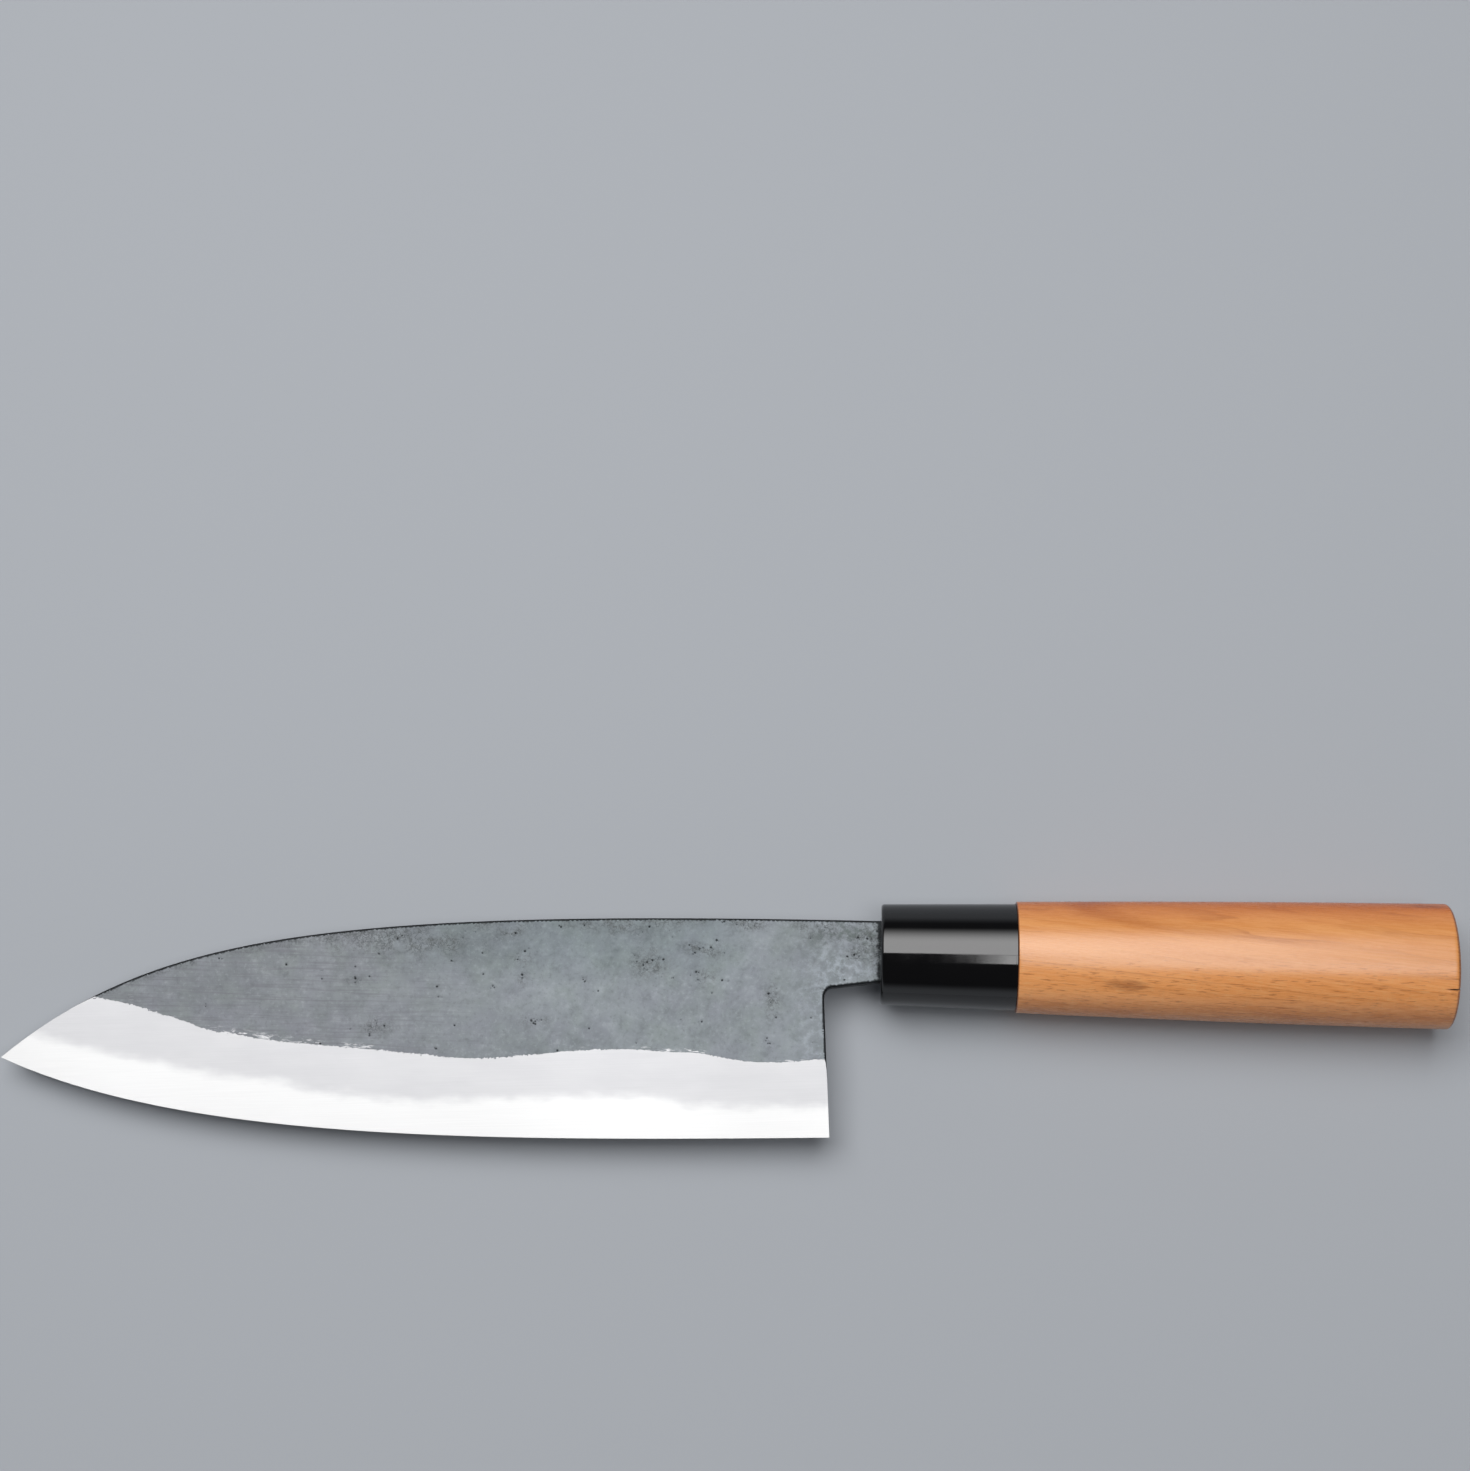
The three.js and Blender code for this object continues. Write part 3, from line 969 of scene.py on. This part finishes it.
def sooted_scale(tree, colour):
    """Scale with soot, wormy stains, specks, black pits, black at the root and painted dark
    reflection along the rounded outer edges. Also gives how black it is.
    """
    soot = stored(tree, "soot")
    smudges = grain(tree, 1.3, 6, 0.72)
    halo = soot * smudges.span(0.42, 0.62, 0.1, 0.65)
    colour = halo.mix(colour, (0.1, 0.11, 0.112))
    worm = soot * abs(grain(tree, 1.1, 3, 0.6) - 0.5).span(0.05, 0.015, 0, 0.7)
    colour = worm.mix(colour, (0.06, 0.066, 0.068))
    speck = (smudges - soot.times_plus(-0.06, 0.74)).span(0, 0.06, 0, 0.75)
    # The stored value holds the painted dark reflection along the outer edges, the black root and the
    # pits.
    stain_and_dark_reflection = (grain(tree, 0.3, 2) - 0.5).times_plus(0.9, stored(tree, "stain_and_dark_reflection"))
    dark = speck.highest(stain_and_dark_reflection.span(0.2, 0.9, 0, 0.9))
    return dark.mix(colour, (0.012, 0.0125, 0.0135)), dark


# Blade

def bare_metal(tree):
    """Where the grind has bared the metal, from 0 to 1: all over the bevel, and in flakes above it."""
    patchy = grain(tree, 7, 2).span(0.4, 0.65, 0.03, 0.11)
    grind = (grain(tree, 0.6, 4, 0.65) - 0.5).times_plus(patchy, stored(tree, "grind"))
    flakes = grain(tree, (1.6, 0.3, 0.35), 3, 0.6).span(0.54, 0.6)
    thinned = flakes * grain(tree, 9, 2).span(0.5, 0.6)
    return (thinned * grind.span(-0.08, -0.02)).highest(grind.span(-0.003, 0.004))


def blade_material(name):
    """Forge scale where the surface was left as forged, bright satin metal where it was ground: hard
    steel below the weld line and duller soft iron above it."""
    material, tree, shader = new_material(name)
    along, height = (spot(tree).part(axis) for axis in "XY")
    scale = worn_scale(tree, clouded_scale(tree), along, height)
    scale, dark = sooted_scale(tree, mottled_neck(tree, scale, along, height))
    bare = bare_metal(tree)
    cloudy = grain(tree, (5, 2, 2), 3).times_plus(3.2, stored(tree, "weld"))
    soft_iron = cloudy.span(0, 3.1)
    haze = grain(tree, (12, 4, 4), 3).span(0.35, 0.65, 0, 0.35)
    soft = haze.mix((0.57, 0.57, 0.583), (0.515, 0.515, 0.533))
    polished = soft_iron.mix((0.69, 0.69, 0.69), soft)
    scratches = grain(tree, (20, 0.15, 0.15), 3, 0.6, turn=3)
    inputs = {"Factor": 1, 6: polished, 7: scratches.span(0.3, 0.7, 0.97, 1.02, smooth=False)}
    polished = put(tree, "Mix", 2, inputs, data_type="RGBA", blend_type="MULTIPLY")
    mottle = grain(tree, *MOTTLE)
    scale_rough = mottle.span(0.3, 0.7, 0.5, 0.62, smooth=False)
    relief = bare.between(dark.times_plus(-1, mottle), scratches * 0.1)
    feed(shader, {
        "Base Color": bare.mix(scale, polished),
        "Metallic": bare.highest(dark.span(0, 1, 0.4, 1)),
        "Roughness": bare.between(scale_rough, soft_iron.between(0.48, 0.52)),
        "Normal": bump(relief, 0.02, 0.6),
    })
    return material


# Ferrule

def resin_material():
    """Polished black resin."""
    material, tree, shader = new_material("polished_black")
    haze = grain(tree, 6, 4, 0.6)
    worn = grain(tree, (0.25, 5, 5), 2).times_plus(0.3, haze)
    feed(shader, {
        "Base Color": haze.mix((0.0015, 0.0015, 0.0018), (0.0026, 0.0026, 0.003)),
        "Roughness": worn.span(0.4, 0.9, 0.03, 0.09),
        "IOR": GLOSS_IOR,
    })
    return material


# Wood

# Painted dark reflection and painted shade on the wood: deeper in colour towards the top, where a
# dark reflection would fall, and darker at the bottom, where shade falls. The heights over the
# handle's axis where a tone comes in and is full, and the tone
WOOD_PAINTED_SHADE = (
    (5, 12.5, (0.8, 0.53, 0.3)),
    (9, 12, (0.9, 0.75, 0.4)),
    (-7.5, -12, (0.84, 0.74, 0.68)),
)


def growth_lines(tree, along, height):
    """Dark late wood of the growth layers, and the one dark layer near the front."""
    drift = grain(tree, (70, 6, 6), 3, 0.6, turn=GRAIN_SLANT)
    layer = spot(tree).part("Z").times_plus(GROWTH_LEAN, along.times_plus(GROWTH_SLOPE, height))
    rings = drift.times_plus(GROWTH_DRIFT, layer * LAYERS_PER_MM).calc("FRACT")
    late = rings.span(0.5, 0.96, 0, 0.6) + rings.span(0.86, 0.96, 0, 0.75)
    late = late * rings.span(1, 0.97)
    late = late * grain(tree, (30, 2.4, 2.4), turn=GRAIN_SLANT).span(0.36, 0.66)
    stray = drift.times_plus(DARK_LAYER_STRAY, -DARK_LAYER_STRAY / 2)
    off = abs(layer + stray - DARK_LAYER)
    start, full, fade, end = DARK_LAYER_REACH
    reach = along.span(start, full) * along.span(end, fade)
    return late, off.span(DARK_LAYER_HALF, 0) * reach


def wood_figure(tree, along, height, fibre):
    """Pale orange-brown wood with fibres, sloping growth lines and streaks, with painted dark
    reflection that deepens its colour towards the spine, a band of painted light low on the side
    and painted shade at the bottom."""
    late, dark_layer = growth_lines(tree, along, height)
    broad = grain(tree, (60, 4, 4), 3, turn=GRAIN_SLANT).span(0.32, 0.68)
    colour = broad.mix((0.675, 0.26, 0.072), (0.77, 0.332, 0.11))
    colour = fibre.span(0.3, 0.7, 0, 0.45).mix(colour, (0.81, 0.388, 0.147))
    # A band of painted light low on the side, where light from the front falls.
    pale = height.span(-1, -5) * height.span(-11, -8)
    colour = pale.mix(colour, (1.14, 1.14, 1.2), "MULTIPLY")
    streaks = grain(tree, (36, 1.3, 1.3), 3, 0.6, turn=-9).span(0.5, 0.7, 0, 0.24)
    colour = (streaks * height.span(0, 6)).mix(colour, (0.52, 0.155, 0.03))
    colour = (late * 0.32).mix(colour, (0.38, 0.115, 0.027))
    colour = (dark_layer * 0.5).mix(colour, (0.44, 0.125, 0.025))
    # Painted dark reflection towards the top and painted shade at the bottom.
    for low, high, tone in WOOD_PAINTED_SHADE:
        colour = height.span(low, high).mix(colour, tone, "MULTIPLY")
    return colour


def wood_pores(tree, colour, height):
    """Wood with short pores, pale ticks and ray flecks in its lower half. Also gives the pores."""
    lower = height.span(1, -5, 0.1, 0.7)
    pores = grain(tree, (2.6, 0.3, 0.3), 3, 0.6, turn=-2)
    pore = pores.span(0.55, 0.68) * lower
    colour = pore.mix(colour, (0.34, 0.11, 0.028))
    tick = pores.span(0.44, 0.33, 0, 0.6) * lower
    colour = tick.mix(colour, (0.84, 0.45, 0.19))
    flecks = grain(tree, (0.5, 1.6, 1.6), 3, 0.6).span(0.52, 0.68)
    patchy = flecks * grain(tree, (9, 5, 5), 1).span(0.46, 0.6, 0, 0.3)
    return (patchy * lower).mix(colour, (0.8, 0.44, 0.2)), pore


def mark(tree, place, reach):
    """A soft ragged mark in the wood: 1 in its middle, 0 past its reach."""
    shift = tuple(-at / size for at, size in zip(place, reach))
    inputs = {0: spot(tree, reach), 1: shift}
    far = put(tree, "VectorMath", "Vector", inputs, operation="ADD").length()
    ragged = grain(tree, (3, 0.5, 0.5), 4, 0.65).times_plus(1.6, -0.8)
    return (far + ragged).span(1, 0.3)


def wood_marks(tree, colour):
    """Wood with its smudge, the streak at the butt, end grain that is darker in itself and with
    painted shade on the butt face, and the drying crack with painted shade in it.
    """
    streaky = grain(tree, (3.4, 0.36, 0.36), 4, 0.7).span(0.34, 0.62, 0.2, 0.6)
    colour = (mark(tree, *SMUDGE) * streaky).mix(colour, (0.29, 0.105, 0.04))
    colour = (mark(tree, *BUTT_STREAK) * 0.7).mix(colour, (0.3, 0.07, 0.015))
    # The butt face is darker: its end grain is darker, and painted shade lies over it as well.
    across = abs(put(tree, "TexCoord", "Normal").part("X"))
    colour = across.span(0.15, 0.55).mix(colour, (0.42, 0.34, 0.28), "MULTIPLY")
    # Painted shade inside the drying crack.
    return stored(tree, "crack").mix(colour, (0.02, 0.009, 0.005))


def wood_material():
    """Oiled wood."""
    material, tree, shader = new_material("oiled_wood")
    along, height = (spot(tree).part(axis) for axis in "XY")
    fibre = grain(tree, (18, 0.32, 0.32), 5, 0.7, turn=GRAIN_SLANT)
    colour, pore = wood_pores(tree, wood_figure(tree, along, height, fibre), height)
    feed(shader, {
        "Base Color": wood_marks(tree, colour),
        "Roughness": fibre.span(0.2, 0.8, 0.22, 0.33, smooth=False),
        "IOR": GLOSS_IOR,
        "Normal": bump(pore.times_plus(-0.8, fibre), 0.03, 0.3),
    })
    return material


# Bedding and floor

def bedding_material():
    """Dark cast resin."""
    material, tree, shader = new_material("cast_resin")
    cloud = grain(tree, 3)
    feed(shader, {
        "Base Color": cloud.mix((0.02, 0.014, 0.009), (0.05, 0.035, 0.022)),
        "Roughness": cloud.span(0.3, 0.7, 0.35, 0.55),
    })
    return material


def floor_material():
    """A plain pale table top that fades into the backdrop's even tone far from the knife."""
    material, tree, shader = new_material("pale_floor")
    feed(shader, {"Base Color": rgb(FLOOR_COLOUR), "Roughness": 0.8, "Specular IOR Level": 0.2})
    far = put(tree, "TexCoord", "Object").length()
    fade = far.span(FLOOR_LIT_RADIUS * MM, FLOOR_FADE_RADIUS * MM)
    seen = put(tree, "LightPath", "Is Camera Ray")
    for ray in ("Is Glossy Ray", "Is Transmission Ray"):
        seen = seen.highest(put(tree, "LightPath", ray))
    glow = put(tree, "Emission", 0, {"Color": rgb(BACKDROP_COLOUR), "Strength": 1})
    surface = put(tree, "MixShader", 0, {0: fade * seen, 1: Value(shader.outputs[0]), 2: glow})
    feed(tree.nodes["Material Output"], {"Surface": surface})
    return material


# Stage

def table_matrix():
    """The table top under the grip: its axes, and its origin below the frame's origin."""
    up = Vector((math.tan(TIP_DOWN), 0, 1)).normalized()
    right = (Vector((1, 0, 0)) - up * up.x).normalized()
    ahead = up.cross(right)
    lowest = (corner_points("handle") @ np.array(up)).min()
    turn = Matrix((right, ahead, up)).transposed().to_4x4()
    return Matrix.Translation(up * lowest * MM) @ turn


def make_floor(table):
    """A wide flat floor, its middle below the knife's."""
    half = FLOOR_SIZE * MM / 2
    mesh = bpy.data.meshes.new("floor")
    corners = [(-half, -half, 0), (half, -half, 0), (half, half, 0), (-half, half, 0)]
    mesh.from_pydata(corners, [], [[0, 1, 2, 3]])
    mesh.materials.append(floor_material())
    floor = add_object("floor", mesh)
    floor.matrix_world = table @ Matrix.Translation((tip_x / 2 * MM, 0, 0))


def make_camera(table):
    """The camera over the knife."""
    data = bpy.data.cameras.new("camera")
    data.sensor_fit = "HORIZONTAL"
    data.sensor_width = SENSOR_WIDTH
    data.lens = FOCAL_LENGTH_PX / IMAGE_WIDTH_PX * SENSOR_WIDTH
    camera = add_object("camera", data)
    aim = Euler([math.radians(turn) for turn in CAMERA_DEGREES])
    camera.matrix_world = table @ Matrix.LocRotScale(Vector(CAMERA_PLACE) * MM, aim, None)
    bpy.context.scene.camera = camera


def make_panel(name, table, middle, width, lean, spread, fade):
    """A soft panel that faces the knife. Its lean and spread are in degrees as seen from there."""
    data = bpy.data.lights.new(name, "AREA")
    data.shape = "RECTANGLE"
    data.size = width * MM
    data.size_y = 2 * PANEL_DISTANCE * MM * math.tan(math.radians(spread / 2))
    data.energy = PANEL_RADIANCE * math.pi * data.size * data.size_y
    data.use_nodes = True
    tree = data.node_tree
    depth = put(tree, "NewGeometry", "Parametric").part("Y")
    feed(tree.nodes["Emission"], {"Strength": depth.span(1, 1 - fade)})
    turn = Matrix.Rotation(math.radians(-lean), 4, "X")
    light = add_object(name, data)
    light.matrix_world = table @ turn @ Matrix.Translation(Vector((middle, 0, PANEL_DISTANCE)) * MM)


def make_room():
    """Pale walls all round, under a dark ceiling."""
    world = bpy.data.worlds.new("room")
    world.use_nodes = True
    tree = world.node_tree
    rise = put(tree, "TexCoord", "Generated").part("Z")
    ceiling = rise.span(math.sin(WALL_TOP), math.sin(CEILING_START))
    feed(tree.nodes["Background"], {"Color": ceiling.mix(BACKDROP_COLOUR, CEILING_COLOUR)})
    bpy.context.scene.world = world


bpy.context.scene.view_settings.view_transform = "Standard"
table = table_matrix()
make_camera(table)
make_floor(table)
for panel, sizes in PANELS.items():
    make_panel(panel, table, **sizes)
make_room()

forged_iron = blade_material("forged_iron")
make_cladding("left_cladding", "cladding_left", side=1, seed=4, material=forged_iron)
make_cladding("right_cladding", "cladding_right", side=-1, seed=9, material=forged_iron)
make_core(blade_material("hard_steel"))
make_ferrule(resin_material())
make_handle(wood_material())
bedding = frame["nodes"]["tang_bedding"]
bedding.material_slots[0].material = bedding_material()
